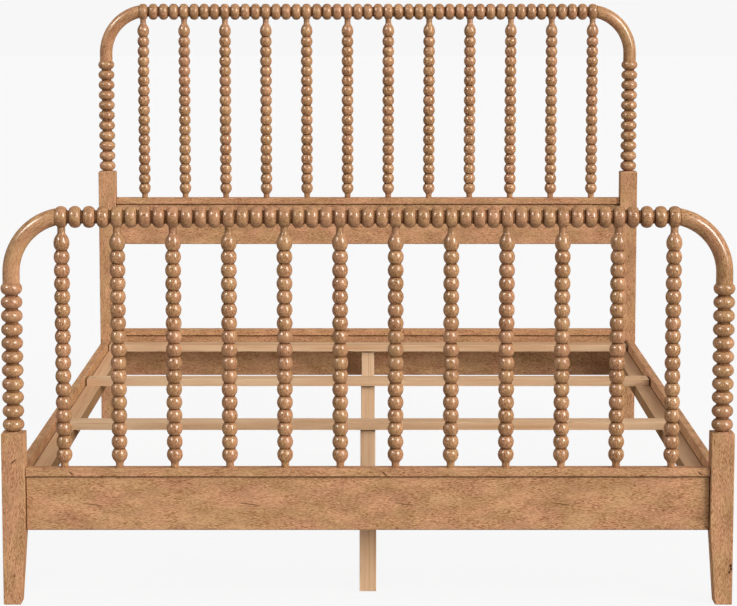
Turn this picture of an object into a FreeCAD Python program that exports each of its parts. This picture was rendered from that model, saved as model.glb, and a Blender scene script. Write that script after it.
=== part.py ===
import FreeCAD, Part
import math
import os
import re

import Sketcher

# A bobbin-turned wooden bed for one mattress. +X runs to the right seen from the foot end, +Y from
# foot to head and +Z up. The origin is on the floor under the middle of the bed.

# Driving sizes in millimetres, and counts
SIZES = {
    # The mattress and the room left round it
    "mattress_width": 1524,
    "mattress_length": 2032,
    "side_gap": 6,
    "end_gap": 19,
    # The four posts: a square lower part, tapered on its inner side below the panel, and turned above
    "post_side": 50,
    "foot_square_height": 379,
    "head_raise": 393.5,
    "foot_taper": 12,
    "turned_height": 325.4,
    "post_bead_count": 11,
    "post_bead_diameter": 47,
    "post_bead_height": 26,
    "post_neck_diameter": 28,
    "post_ring_diameter": 38,
    "post_ring_height": 1.9,
    # The bent corners between the posts and the top rails
    "bend_diameter": 37,
    "bend_reach": 97.7,
    "bend_height": 144.9,
    "bend_lead": 23,
    # The top rails: a drilled bead over each spindle and plain beads between them
    "rail_bead_diameter": 47.4,
    "rail_bead_width": 25.2,
    "rail_bead_round": 8.5,
    "drilled_bead_diameter": 46.8,
    "drilled_bead_width": 24.4,
    "drilled_bead_round": 5,
    "rail_neck_diameter": 29,
    "beads_between_spindles": 3,
    # The spindles
    "spindle_count": 12,
    "spindle_bead_count": 15,
    "spindle_bead_diameter": 34.6,
    "spindle_groove_diameter": 22.4,
    "spindle_neck_diameter": 17,
    "vase_height": 39.8,
    "vase_widest": 24.6,
    "onion_height": 34.2,
    "onion_widest": 20.6,
    "neck_hollow_radius": 9,
    "top_neck_length": 9.25,
    "bottom_neck_length": 8,
    "top_tenon_length": 15,
    "bottom_tenon_length": 11,
    # The cross rails: a cap strip on a panel
    "cap_top_height": 301,
    "cap_thickness": 18,
    "cap_depth": 32,
    "cap_round": 3,
    "panel_height": 120,
    "panel_thickness": 21,
    "tenon_length": 18,
    "tenon_thickness": 10,
    "tenon_shoulder": 14,
    # The side rails, the ledgers that carry the slats, the slats and their centre legs
    "side_rail_top": 273,
    "side_rail_height": 108.5,
    "side_rail_thickness": 20,
    "side_rail_setback": 8,
    "side_rail_round": 3,
    "ledger_top": 247,
    "ledger_height": 29,
    "ledger_width": 42,
    "ledger_end_gap": 10,
    "slat_thickness": 18.5,
    "slat_width": 62,
    "slat_round": 1.5,
    "slat_end_gap": 2,
    "first_slat_offset": 60,
    "slat_pitch": 659,
    "last_slat_gap": 6,
    "leg_side": 37,
    # The hook-and-slot plates that join the side rails to the posts
    "plate_thickness": 3,
    "plate_width": 14,
    "plate_height": 84,
    "hook_thickness": 4,
    "hook_reach": 9,
    "hook_neck_height": 10,
    "hook_drop": 8,
    "hook_spacing": 44,
    # Dowels, screws and bolts
    "dowel_diameter": 10,
    "dowel_depth": 22,
    "screw_diameter": 5,
    "screw_head_diameter": 9,
    "screw_head_height": 3,
    "screw_bite": 13,
    "screw_tip": 4,
    "ledger_screw_count": 6,
    "ledger_screw_end_gap": 50,
    "ledger_screw_height": 8,
    "bolt_diameter": 8,
    "bolt_in_leg": 40,
    "bolt_in_slat": 12,
    # Radial or side clearance of a fit, and the room left at the blind end of a hole
    "fit_clearance": 0.15,
    "hole_end_gap": 0.5,
}

# Places and sizes worked out from the driving sizes
PLACES = {
    "rail_inner_x": "mattress_width / 2 + side_gap",
    "rail_outer_x": "rail_inner_x + side_rail_thickness",
    "rail_middle_x": "rail_inner_x + side_rail_thickness / 2",
    "post_x": "rail_outer_x + side_rail_setback - post_side / 2",
    "post_inner_x": "post_x - post_side / 2",
    "bay_half_length": "mattress_length / 2 + end_gap",
    "post_y": "bay_half_length + post_side / 2",
    "panel_top": "cap_top_height - cap_thickness",
    "panel_bottom": "panel_top - panel_height",
    "seat_height": "foot_square_height + turned_height",
    "rail_axis_height": "seat_height + bend_height",
    "rail_rise": "rail_axis_height - cap_top_height",
    "top_rail_end_x": "post_x - bend_reach",
    "spindle_span": "2 * top_rail_end_x - drilled_bead_width",
    "spindle_pitch": "spindle_span / (spindle_count - 1)",
    "rail_bead_pitch": "spindle_pitch / (beads_between_spindles + 1)",
    "post_bead_rise": "(post_bead_diameter - post_neck_diameter) / 2",
    "post_bead_radius": "((post_bead_height / 2)^2 + post_bead_rise^2) / (2 * post_bead_rise)",
    "crown_drop": "post_bead_radius - (post_bead_diameter - bend_diameter) / 2",
    "crown_height": "sqrt(post_bead_radius^2 - crown_drop^2)",
    "post_bead_pitch": "(turned_height - post_ring_height - crown_height) / (post_bead_count - 0.5)",
    "bend_rise": "bend_height - bend_lead",
    "bend_angle": "2 * atan(bend_reach / bend_rise)",
    "bend_radius": "bend_reach / (1 - cos(bend_angle))",
    "spindle_length": "rail_rise - drilled_bead_diameter / 2",
    "beaded_length": "spindle_length - top_neck_length - vase_height - onion_height - bottom_neck_length",
    "spindle_bead_pitch": "beaded_length / spindle_bead_count",
    "spindle_bead_rise": "(spindle_bead_diameter - spindle_groove_diameter) / 2",
    "spindle_bead_radius":
        "((spindle_bead_pitch / 2)^2 + spindle_bead_rise^2) / (2 * spindle_bead_rise)",
    "ledger_bottom": "ledger_top - ledger_height",
    "ledger_middle_x": "rail_inner_x - ledger_width / 2",
    "ledger_half_length": "bay_half_length - ledger_end_gap",
    "ledger_screw_span": "2 * (ledger_half_length - ledger_screw_end_gap)",
    "ledger_screw_pitch": "ledger_screw_span / (ledger_screw_count - 1)",
    "ledger_screw_z": "ledger_bottom + ledger_screw_height",
    "ledger_screw_length": "ledger_width + screw_bite",
    "slat_screw_length": "slat_thickness + screw_bite",
    "side_rail_middle_z": "side_rail_top - side_rail_height / 2",
    "fit_dowel": "dowel_diameter + 2 * fit_clearance",
    "fit_screw": "screw_diameter + 2 * fit_clearance",
    "fit_screw_head": "screw_head_diameter + 2 * fit_clearance",
    "fit_bolt": "bolt_diameter + 2 * fit_clearance",
    "fit_neck": "spindle_neck_diameter + 2 * fit_clearance",
}

# Middles of the slats from foot to head: three evenly spaced and one close to the headboard
SLAT_MIDDLES = [
    "-bay_half_length + first_slat_offset + slat_width / 2",
    "-bay_half_length + first_slat_offset + slat_width / 2 + slat_pitch",
    "-bay_half_length + first_slat_offset + slat_width / 2 + 2 * slat_pitch",
    "bay_half_length - last_slat_gap - slat_width / 2",
]

SIDES = {"left": -1, "right": 1}
ENDS = {"foot": -1, "head": 1}
END_RAISE = {"foot": "0", "head": "head_raise"}
HALF_TURN = FreeCAD.Rotation(FreeCAD.Vector(0, 0, 1), 180)
NO_TURN = FreeCAD.Rotation()

doc = FreeCAD.newDocument("bobbin_bed_frame")
sheet = doc.addObject("Spreadsheet::Sheet", "Sizes")
for row, (size_name, size) in enumerate(SIZES.items(), start=1):
    sheet.set(f"A{row}", size_name)
    sheet.set(f"B{row}", str(size))
    sheet.setAlias(f"B{row}", size_name)
doc.recompute()


def sized(formula):
    """A formula in the names above, written out on the sheet's cells."""
    def cell(match):
        name = match.group(0)
        if name in PLACES:
            return "(" + sized(PLACES[name]) + ")"
        return "Sizes." + name if name in SIZES else name
    return re.sub(r"[a-z_]{3,}", cell, str(formula))


def value(formula):
    """The formula's present value."""
    result = sheet.evalExpression(sized(formula))
    return float(getattr(result, "Value", result))


def bind(item, prop, formula):
    item.setExpression(prop, sized(formula))


def new_body(label):
    item = doc.addObject("PartDesign::Body", label)
    item.Label = label
    return item


def origin_feature(body, role):
    """One of the body's own origin planes or axes."""
    return next(item for item in body.Origin.OriginFeatures if item.Role == role)


def place(item, x="0", y="0", z="0", turn=NO_TURN):
    """Stand an item at a point given by three formulas."""
    item.Placement = FreeCAD.Placement(FreeCAD.Vector(value(x), value(y), value(z)), turn)
    for axis, formula in zip("xyz", (x, y, z)):
        bind(item, f"Placement.Base.{axis}", formula)


def edge_between(start, end, radius, hollow):
    """A straight edge, or an arc under half a turn that swells out of the outline or dips into it."""
    if radius is None:
        return Part.LineSegment(start, end)
    chord = end - start
    left = FreeCAD.Vector(-chord.y, chord.x, 0).normalize()
    reach = math.sqrt(max(radius ** 2 - chord.Length ** 2 / 4, 0))
    centre = (start + end) / 2 + left * (-reach if hollow else reach)
    first, last = (end, start) if hollow else (start, end)
    angles = [math.atan2(point.y - centre.y, point.x - centre.x) for point in (first, last)]
    if angles[1] <= angles[0]:
        angles[1] += 2 * math.pi
    circle = Part.Circle(centre, FreeCAD.Vector(0, 0, 1), radius)
    return Part.ArcOfCircle(circle, angles[0], angles[1])


def add_outline(sketch, corners):
    """A closed outline, counter-clockwise. A corner is (x, y), or (x, y, radius) where the edge that
    leaves it is an arc that swells out, or (x, y, radius, "hollow") where that arc dips in."""
    points = [FreeCAD.Vector(value(corner[0]), value(corner[1]), 0) for corner in corners]
    starts = []
    ends = []
    for number, corner in enumerate(corners):
        radius = corner[2] if len(corner) > 2 else None
        hollow = len(corner) > 3
        end_point = points[(number + 1) % len(points)]
        size = None if radius is None else value(radius)
        edge = sketch.addGeometry(edge_between(points[number], end_point, size, hollow), False)
        starts.append((edge, 2 if hollow else 1))
        ends.append((edge, 1 if hollow else 2))
        if radius is not None:
            rule = sketch.addConstraint(Sketcher.Constraint("Radius", edge, size))
            bind(sketch, f"Constraints[{rule}]", radius)
    for number, corner in enumerate(corners):
        sketch.addConstraint(Sketcher.Constraint("Coincident", *ends[number - 1], *starts[number]))
        for direction, formula in zip(("DistanceX", "DistanceY"), corner[:2]):
            rule = sketch.addConstraint(
                Sketcher.Constraint(direction, -1, 1, *starts[number], value(formula)))
            bind(sketch, f"Constraints[{rule}]", formula)


def add_circle(sketch, x, y, diameter):
    """A full circle for a bore or a round bar."""
    centre = FreeCAD.Vector(value(x), value(y), 0)
    normal = FreeCAD.Vector(0, 0, 1)
    edge = sketch.addGeometry(Part.Circle(centre, normal, value(diameter) / 2), False)
    for direction, formula in (("DistanceX", x), ("DistanceY", y)):
        rule = sketch.addConstraint(Sketcher.Constraint(direction, -1, 1, edge, 3, value(formula)))
        bind(sketch, f"Constraints[{rule}]", formula)
    rule = sketch.addConstraint(Sketcher.Constraint("Diameter", edge, value(diameter)))
    bind(sketch, f"Constraints[{rule}]", diameter)


def new_sketch(body, name, role, outlines=(), circles=(), level="0"):
    """Outlines and circles on one of the body's planes, raised along that plane's normal to a level."""
    sketch = body.newObject("Sketcher::SketchObject", f"{name}_sketch")
    sketch.AttachmentSupport = (origin_feature(body, role), [""])
    sketch.MapMode = "FlatFace"
    bind(sketch, "AttachmentOffset.Base.z", level)
    for corners in outlines:
        add_outline(sketch, corners)
    for circle in circles:
        add_circle(sketch, *circle)
    return sketch


def pad(body, name, sketch, length, both_ways=True, reverse=False):
    """Draw a sketch out into a solid, to both sides of its plane or to one."""
    feature = body.newObject("PartDesign::Pad", name)
    feature.Profile = sketch
    feature.SideType = "Symmetric" if both_ways else "One side"
    feature.Reversed = reverse
    bind(feature, "Length", length)
    return feature


def cut(body, name, sketch, depth=None, reverse=False):
    """Cut a sketch into the body against its plane's normal, or with it if reversed. Without a depth
    the cut goes right through. The cut has to take material away."""
    doc.recompute()
    before = body.Shape.Volume
    feature = body.newObject("PartDesign::Pocket", name)
    feature.Profile = sketch
    feature.Reversed = reverse
    if depth is None:
        feature.Type = "ThroughAll"
    else:
        bind(feature, "Length", depth)
    doc.recompute()
    if body.Shape.Volume >= before:
        raise RuntimeError(f"{feature.Name} of {body.Label} cuts nothing")
    return feature


def turn_on_lathe(body, name, corners):
    """Revolve a half outline, drawn on the XZ plane, round the body's Z axis."""
    sketch = new_sketch(body, name, "XZ_Plane", [corners])
    feature = body.newObject("PartDesign::Revolution", name)
    feature.Profile = sketch
    feature.ReferenceAxis = (sketch, ["V_Axis"])
    feature.Angle = 360
    return feature


def repeat(body, name, features, role, spacing, count):
    """Copy features along one of the body's axes."""
    pattern = body.newObject("PartDesign::LinearPattern", name)
    pattern.Originals = features
    pattern.Direction = (origin_feature(body, role), [""])
    pattern.Mode = "Spacing"
    bind(pattern, "Offset", spacing)
    bind(pattern, "Occurrences", count)
    body.Tip = pattern
    return pattern


def rectangle(left, right, low, high):
    return [(left, low), (right, low), (right, high), (left, high)]


def centred_rectangle(width, low, high, middle="0"):
    return rectangle(f"{middle} - ({width}) / 2", f"{middle} + ({width}) / 2", low, high)


def eased_bar(width, low, high, rounding):
    """A bar's section whose two upper edges are eased."""
    return [
        (f"-({width}) / 2", low),
        (f"({width}) / 2", low),
        (f"({width}) / 2", f"{high} - {rounding}", rounding),
        (f"({width}) / 2 - {rounding}", high),
        (f"{rounding} - ({width}) / 2", high, rounding),
        (f"-({width}) / 2", f"{high} - {rounding}"),
    ]


def copy_of(master, label, x="0", y="0", z="0", turn=NO_TURN):
    """Another piece of the same make, in its own place."""
    item = doc.addObject("App::Link", label)
    item.LinkedObject = master
    item.Label = label
    place(item, x, y, z, turn)
    return item


def group(label, members):
    """Like fasteners kept together as separate solids."""
    item = doc.addObject("Part::Compound", label)
    item.Label = label
    item.Links = members
    return item


# Posts

def post_silhouette(inner, square_height):
    """Front view of the square part: straight outside and tapered inside below the panel. inner is the X
    direction towards the middle of the bed."""
    corners = [
        ("-post_side / 2", "0"),
        ("post_side / 2 - foot_taper", "0"),
        ("post_side / 2", "panel_bottom"),
        ("post_side / 2", square_height),
        ("-post_side / 2", square_height),
    ]
    if inner > 0:
        return corners
    return [(f"-({x})", z) for x, z in reversed(corners)]


def turn_post_top(post, square_height):
    """Ring beads above the square, and a crown bead cut flat as the seat of the bend."""
    base = f"{square_height} + post_ring_height"
    neck = "post_neck_diameter / 2"
    half = "post_bead_height / 2"
    turn_on_lathe(post, "base_ring",
                  rectangle("0", "post_ring_diameter / 2", square_height, base))
    middle = f"{base} + post_bead_pitch / 2"
    bead = turn_on_lathe(post, "ring_bead", [
        ("0", base),
        (neck, base),
        (neck, f"{middle} - {half}", "post_bead_radius"),
        (neck, f"{middle} + {half}"),
        (neck, f"{base} + post_bead_pitch"),
        ("0", f"{base} + post_bead_pitch"),
    ])
    repeat(post, "ring_beads", [bead], "Z_Axis", "post_bead_pitch", "post_bead_count - 1")
    crown_base = f"{base} + post_bead_pitch * (post_bead_count - 1)"
    crown_middle = f"{crown_base} + post_bead_pitch / 2"
    turn_on_lathe(post, "crown_bead", [
        ("0", crown_base),
        (neck, crown_base),
        (neck, f"{crown_middle} - {half}", "post_bead_radius"),
        ("post_bead_diameter / 2", crown_middle, "post_bead_radius"),
        ("bend_diameter / 2", f"{crown_middle} + crown_height"),
        ("0", f"{crown_middle} + crown_height"),
    ])


def cut_post_joints(post, inner, facing, square_height, panel_raises):
    """The dowel hole in the crown, the panels' mortises, and the slot plate's recess with room for the
    hooks behind it. facing is the Y direction towards the middle of the bed."""
    seat = f"{square_height} + turned_height"
    hole = new_sketch(post, "crown_hole", "XY_Plane", circles=[("0", "0", "fit_dowel")], level=seat)
    cut(post, "crown_hole", hole, "dowel_depth + hole_end_gap")
    mortises = [
        centred_rectangle("tenon_thickness + 2 * fit_clearance",
                          f"panel_bottom + {rise} + tenon_shoulder - fit_clearance",
                          f"panel_top + {rise} - tenon_shoulder + fit_clearance")
        for rise in panel_raises
    ]
    sketch = new_sketch(post, "mortises", "YZ_Plane", mortises, level=f"{inner} * post_side / 2")
    cut(post, "mortises", sketch, "tenon_length + hole_end_gap", reverse=inner < 0)
    rail_x = f"{inner} * (post_x - rail_middle_x)"
    face = f"{-facing} * post_side / 2"
    recess = centred_rectangle("plate_width + 2 * fit_clearance",
                               "side_rail_middle_z - plate_height / 2 - fit_clearance",
                               "side_rail_middle_z + plate_height / 2 + fit_clearance", rail_x)
    sketch = new_sketch(post, "plate_recess", "XZ_Plane", [recess], level=face)
    cut(post, "plate_recess", sketch, "plate_thickness", reverse=facing > 0)
    rooms = [
        centred_rectangle("plate_width / 2",
                          f"{level} - hook_drop - hole_end_gap",
                          f"{level} + hook_neck_height + hook_drop + hole_end_gap", rail_x)
        for level in hook_levels()
    ]
    sketch = new_sketch(post, "hook_rooms", "XZ_Plane", rooms, level=face)
    cut(post, "hook_rooms", sketch, "hook_reach + hole_end_gap", reverse=facing > 0)


def hook_levels():
    """Heights at which the two hooks of a side rail's end hang on their slots."""
    return [f"side_rail_middle_z + {side} * hook_spacing / 2 - hook_neck_height / 2" for side in (-1, 1)]


def make_post(end, side):
    square_height = f"(foot_square_height + {END_RAISE[end]})"
    panel_raises = ["0", "head_raise"] if end == "head" else ["0"]
    inner = -SIDES[side]
    facing = -ENDS[end]
    post = new_body(f"{end}_post_{side}")
    outline = new_sketch(post, "square", "XZ_Plane", [post_silhouette(inner, square_height)])
    pad(post, "square", outline, "post_side")
    turn_post_top(post, square_height)
    cut_post_joints(post, inner, facing, square_height, panel_raises)
    place(post, f"{SIDES[side]} * post_x", f"{ENDS[end]} * post_y")
    return post


# Bent corners, top rails and spindles

def make_bend_master():
    """The right-hand bend about the centre of its arc: a short straight lead, then the arc, cut upright
    where it meets the top rail's end bead, with a dowel hole in each end."""
    bend = new_body("bend_master")
    section = new_sketch(bend, "section", "XY_Plane", circles=[("bend_radius", "0", "bend_diameter")])
    pad(bend, "lead", section, "bend_lead", both_ways=False, reverse=True)
    arc = bend.newObject("PartDesign::Revolution", "arc")
    arc.Profile = section
    arc.ReferenceAxis = (section, ["V_Axis"])
    arc.Reversed = True
    bind(arc, "Angle", "bend_angle + 2 * atan(bend_diameter / bend_radius / 2)")
    end_x = "bend_radius - bend_reach"
    waste = rectangle(f"{end_x} - 3 * bend_diameter", end_x, "0", "bend_radius + 2 * bend_diameter")
    sketch = new_sketch(bend, "end_cut", "XZ_Plane", [waste], level="-bend_diameter")
    cut(bend, "end_cut", sketch, reverse=True)
    sketch = new_sketch(bend, "foot_hole", "XY_Plane", circles=[("bend_radius", "0", "fit_dowel")],
                        level="-bend_lead")
    cut(bend, "foot_hole", sketch, "dowel_depth + hole_end_gap", reverse=True)
    sketch = new_sketch(bend, "end_hole", "YZ_Plane", circles=[("0", "bend_rise", "fit_dowel")],
                        level=end_x)
    cut(bend, "end_hole", sketch, "dowel_depth + hole_end_gap", reverse=True)
    return bend


def rail_bead_outline(diameter, width, rounding, middle):
    """Half section of a disc bead with a rounded rim, on the axis at a given middle."""
    rim = f"{diameter} / 2"
    return [
        ("0", f"{middle} - {width} / 2"),
        (f"{rim} - {rounding}", f"{middle} - {width} / 2", rounding),
        (rim, f"{middle} - {width} / 2 + {rounding}"),
        (rim, f"{middle} + {width} / 2 - {rounding}", rounding),
        (f"{rim} - {rounding}", f"{middle} + {width} / 2"),
        ("0", f"{middle} + {width} / 2"),
    ]


def make_top_rail_master():
    """A top rail turned round its own Z axis, which the copies lay along X: a core, the drilled beads
    and the plain beads between them, the spindles' mortises and a dowel hole in each end."""
    rail = new_body("top_rail_master")
    turn_on_lathe(rail, "core", rectangle("0", "rail_neck_diameter / 2",
                                          "-spindle_span / 2", "spindle_span / 2"))
    first = "-spindle_span / 2"
    drilled = turn_on_lathe(rail, "drilled_bead", rail_bead_outline(
        "drilled_bead_diameter", "drilled_bead_width", "drilled_bead_round", first))
    repeat(rail, "drilled_beads", [drilled], "Z_Axis", "spindle_pitch", "spindle_count")
    plain = [
        turn_on_lathe(rail, f"plain_bead_{number}", rail_bead_outline(
            "rail_bead_diameter", "rail_bead_width", "rail_bead_round",
            f"{first} + {number} * rail_bead_pitch"))
        for number in range(1, SIZES["beads_between_spindles"] + 1)
    ]
    repeat(rail, "plain_beads", plain, "Z_Axis", "spindle_pitch", "spindle_count - 1")
    sketch = new_sketch(rail, "mortise", "YZ_Plane", circles=[("0", first, "fit_neck")],
                        level="top_tenon_length + hole_end_gap - drilled_bead_diameter / 2")
    mortise = cut(rail, "mortise", sketch)
    repeat(rail, "mortises", [mortise], "Z_Axis", "spindle_pitch", "spindle_count")
    for name, level, reverse in (("low_hole", "-top_rail_end_x", True),
                                 ("high_hole", "top_rail_end_x", False)):
        sketch = new_sketch(rail, name, "XY_Plane", circles=[("0", "0", "fit_dowel")], level=level)
        cut(rail, name, sketch, "dowel_depth + hole_end_gap", reverse=reverse)
    return rail


def make_spindle_master():
    """A spindle standing on a cap: tenon and neck, an onion bead, round beads, a vase bead, and the
    neck that goes on as the top tenon."""
    spindle = new_body("spindle_master")
    neck = "spindle_neck_diameter / 2"
    groove = "spindle_groove_diameter / 2"
    widest = "spindle_bead_diameter / 2"
    upper = "(onion_height - onion_widest)"
    turn_x, turn_along, swell = ogee("onion_widest")
    turn_on_lathe(spindle, "onion_bead", [
        ("0", "-bottom_tenon_length"),
        (neck, "-bottom_tenon_length"),
        (neck, "bottom_neck_length", "neck_hollow_radius", "hollow"),
        (turn_x, f"bottom_neck_length + {turn_along}", swell),
        (widest, "bottom_neck_length + onion_widest", arc_radius(upper, "spindle_bead_rise")),
        (groove, "bottom_neck_length + onion_height"),
        ("0", "bottom_neck_length + onion_height"),
    ])
    first = "bottom_neck_length + onion_height"
    bead = turn_on_lathe(spindle, "round_bead", [
        ("0", first),
        (groove, first, "spindle_bead_radius"),
        (groove, f"{first} + spindle_bead_pitch"),
        ("0", f"{first} + spindle_bead_pitch"),
    ])
    repeat(spindle, "round_beads", [bead], "Z_Axis", "spindle_bead_pitch", "spindle_bead_count")
    vase = f"{first} + beaded_length"
    lower = "(vase_height - vase_widest)"
    turn_x, turn_along, swell = ogee("vase_widest")
    turn_on_lathe(spindle, "vase_bead", [
        ("0", vase),
        (groove, vase, arc_radius(lower, "spindle_bead_rise")),
        (widest, f"{vase} + {lower}", swell),
        (turn_x, f"{vase} + vase_height - {turn_along}", "neck_hollow_radius", "hollow"),
        (neck, f"{vase} + vase_height"),
        (neck, "spindle_length + top_tenon_length"),
        ("0", "spindle_length + top_tenon_length"),
    ])
    return spindle


def arc_radius(along, across):
    """Radius of an arc that leaves its widest point square to the axis and drops by across over along."""
    return f"(({along})^2 + ({across})^2) / (2 * ({across}))"


def ogee(along):
    """The curve from a spindle's neck to a bead's widest point, along apart on the axis: a hollow arc,
    then a swelling one tangent to it. Gives where they meet, as a radius and a length on from the neck's
    end, and the swelling arc's radius."""
    across = "(spindle_bead_diameter - spindle_neck_diameter) / 2"
    both_radii = arc_radius(along, across)
    share = f"neck_hollow_radius / ({both_radii})"
    turn_x = f"spindle_neck_diameter / 2 + {across} * {share}"
    return turn_x, f"{along} * {share}", f"{both_radii} - neck_hollow_radius"


# Cross rails

def make_cap_master(label, drilled):
    """A cap strip with its underside at Z 0, with a mortise for each spindle where it carries them."""
    cap = new_body(label)
    section = new_sketch(cap, "strip", "YZ_Plane",
                         [eased_bar("cap_depth", "0", "cap_thickness", "cap_round")])
    pad(cap, "strip", section, "2 * post_inner_x")
    if drilled:
        sketch = new_sketch(cap, "mortise", "XY_Plane", level="cap_thickness",
                            circles=[("-spindle_span / 2", "0", "fit_neck")])
        mortise = cut(cap, "mortise", sketch, "bottom_tenon_length")
        repeat(cap, "mortises", [mortise], "X_Axis", "spindle_pitch", "spindle_count")
    return cap


def make_panel_master():
    """A panel with its underside at Z 0, and a tenon at each end from one bar through it."""
    panel = new_body("panel_master")
    section = new_sketch(panel, "board", "YZ_Plane",
                         [centred_rectangle("panel_thickness", "0", "panel_height")])
    pad(panel, "board", section, "2 * post_inner_x")
    section = new_sketch(panel, "tenons", "YZ_Plane", [centred_rectangle(
        "tenon_thickness", "tenon_shoulder", "panel_height - tenon_shoulder")])
    pad(panel, "tenons", section, "2 * (post_inner_x + tenon_length)")
    return panel


# Side rails, ledgers, slats and centre legs

def make_side_rail_master():
    """The right side rail about its own middle line: eased top edges, a recess for the hook plate in
    each end, and pilot holes for the ledger's screws in its inner face."""
    rail = new_body("side_rail_master")
    section = new_sketch(rail, "board", "XZ_Plane", [eased_bar(
        "side_rail_thickness", "side_rail_top - side_rail_height", "side_rail_top", "side_rail_round")])
    pad(rail, "board", section, "2 * bay_half_length")
    recess = centred_rectangle("plate_width + 2 * fit_clearance",
                               "side_rail_middle_z - plate_height / 2 - fit_clearance",
                               "side_rail_middle_z + plate_height / 2 + fit_clearance")
    for end, way in ENDS.items():
        sketch = new_sketch(rail, f"{end}_recess", "XZ_Plane", [recess],
                            level=f"{-way} * bay_half_length")
        cut(rail, f"{end}_recess", sketch, "plate_thickness", reverse=way > 0)
    sketch = new_sketch(rail, "pilot", "YZ_Plane", level="-side_rail_thickness / 2",
                        circles=[("-ledger_screw_span / 2", "ledger_screw_z", "fit_screw")])
    pilot = cut(rail, "pilot", sketch, "screw_bite + hole_end_gap", reverse=True)
    repeat(rail, "pilots", [pilot], "Y_Axis", "ledger_screw_pitch", "ledger_screw_count")
    return rail


def make_ledger(side):
    """A ledger: counterbored screw holes into the side rail, and a pilot hole under each slat."""
    way = SIDES[side]
    ledger = new_body(f"ledger_{side}")
    section = new_sketch(ledger, "batten", "XZ_Plane",
                         [centred_rectangle("ledger_width", "ledger_bottom", "ledger_top")])
    pad(ledger, "batten", section, "2 * ledger_half_length")
    first_y = "-ledger_screw_span / 2"
    for name, diameter, depth in (("shank_hole", "fit_screw", "ledger_width"),
                                  ("head_hole", "fit_screw_head", "screw_head_height")):
        sketch = new_sketch(ledger, name, "YZ_Plane", circles=[(first_y, "ledger_screw_z", diameter)],
                            level=f"{-way} * ledger_width / 2")
        hole = cut(ledger, name, sketch, depth, reverse=way > 0)
        repeat(ledger, f"{name}s", [hole], "Y_Axis", "ledger_screw_pitch", "ledger_screw_count")
    pilots = [("0", middle, "fit_screw") for middle in SLAT_MIDDLES]
    sketch = new_sketch(ledger, "slat_pilots", "XY_Plane", circles=pilots, level="ledger_top")
    cut(ledger, "slat_pilots", sketch, "screw_bite + hole_end_gap")
    place(ledger, f"{way} * ledger_middle_x")
    return ledger


def make_slat_master():
    """A slat with its underside at Z 0: a counterbored screw hole over each ledger, and a blind hole for
    the centre leg's bolt."""
    slat = new_body("slat_master")
    section = new_sketch(slat, "board", "YZ_Plane",
                         [eased_bar("slat_width", "0", "slat_thickness", "slat_round")])
    pad(slat, "board", section, "2 * (rail_inner_x - slat_end_gap)")
    for name, diameter, depth in (("shank_holes", "fit_screw", "slat_thickness"),
                                  ("head_holes", "fit_screw_head", "screw_head_height")):
        holes = [(f"{way} * ledger_middle_x", "0", diameter) for way in SIDES.values()]
        sketch = new_sketch(slat, name, "XY_Plane", circles=holes, level="slat_thickness")
        cut(slat, name, sketch, depth)
    sketch = new_sketch(slat, "bolt_hole", "XY_Plane", circles=[("0", "0", "fit_bolt")])
    cut(slat, "bolt_hole", sketch, "bolt_in_slat + hole_end_gap", reverse=True)
    return slat


def make_leg_master():
    """A square centre leg with a blind hole for its bolt in the top."""
    leg = new_body("leg_master")
    section = new_sketch(leg, "post", "XY_Plane",
                         [centred_rectangle("leg_side", "-leg_side / 2", "leg_side / 2")])
    pad(leg, "post", section, "ledger_top", both_ways=False)
    sketch = new_sketch(leg, "bolt_hole", "XY_Plane", circles=[("0", "0", "fit_bolt")],
                        level="ledger_top")
    cut(leg, "bolt_hole", sketch, "bolt_in_leg + hole_end_gap")
    return leg


# Hardware

def make_slot_plate_master():
    """The plate let into a foot post, its face at Y 0 towards the rail, with a slot for each hook."""
    plate = new_body("slot_plate_master")
    outline = centred_rectangle("plate_width", "side_rail_middle_z - plate_height / 2",
                                "side_rail_middle_z + plate_height / 2")
    sketch = new_sketch(plate, "plate", "XZ_Plane", [outline])
    pad(plate, "plate", sketch, "plate_thickness", both_ways=False)
    slots = [
        centred_rectangle("hook_thickness + 2 * fit_clearance", level,
                          f"{level} + hook_neck_height + hook_drop + hole_end_gap")
        for level in hook_levels()
    ]
    sketch = new_sketch(plate, "slots", "XZ_Plane", slots)
    cut(plate, "slots", sketch, "plate_thickness", reverse=True)
    return plate


def make_hook_plate_master():
    """The plate let into the foot end of a side rail, its face at Y 0, with two hooks that reach through
    the slots and hang down behind them."""
    plate = new_body("hook_plate_master")
    outline = centred_rectangle("plate_width", "side_rail_middle_z - plate_height / 2",
                                "side_rail_middle_z + plate_height / 2")
    sketch = new_sketch(plate, "plate", "XZ_Plane", [outline])
    pad(plate, "plate", sketch, "plate_thickness", both_ways=False, reverse=True)
    hooks = [
        [
            ("0", level),
            ("0", f"{level} + hook_neck_height"),
            ("-hook_reach", f"{level} + hook_neck_height"),
            ("-hook_reach", f"{level} - hook_drop"),
            ("-plate_thickness - fit_clearance", f"{level} - hook_drop"),
            ("-plate_thickness - fit_clearance", level),
        ]
        for level in hook_levels()
    ]
    sketch = new_sketch(plate, "hooks", "YZ_Plane", hooks)
    pad(plate, "hooks", sketch, "hook_thickness")
    return plate


def make_screw_master(label, length):
    """A flat-headed wood screw pointing down, the top of its head at Z 0."""
    screw = new_body(label)
    shank = "screw_diameter / 2"
    head = "screw_head_diameter / 2"
    turn_on_lathe(screw, "screw", [
        ("0", f"-({length})"),
        (shank, f"screw_tip - ({length})"),
        (shank, "-screw_head_height"),
        (head, "-screw_head_height"),
        (head, "0"),
        ("0", "0"),
    ])
    return screw


def pin(label, diameter, length):
    """A plain round dowel or bolt."""
    item = doc.addObject("Part::Cylinder", label)
    bind(item, "Radius", f"{diameter} / 2")
    bind(item, "Height", length)
    return item


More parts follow.
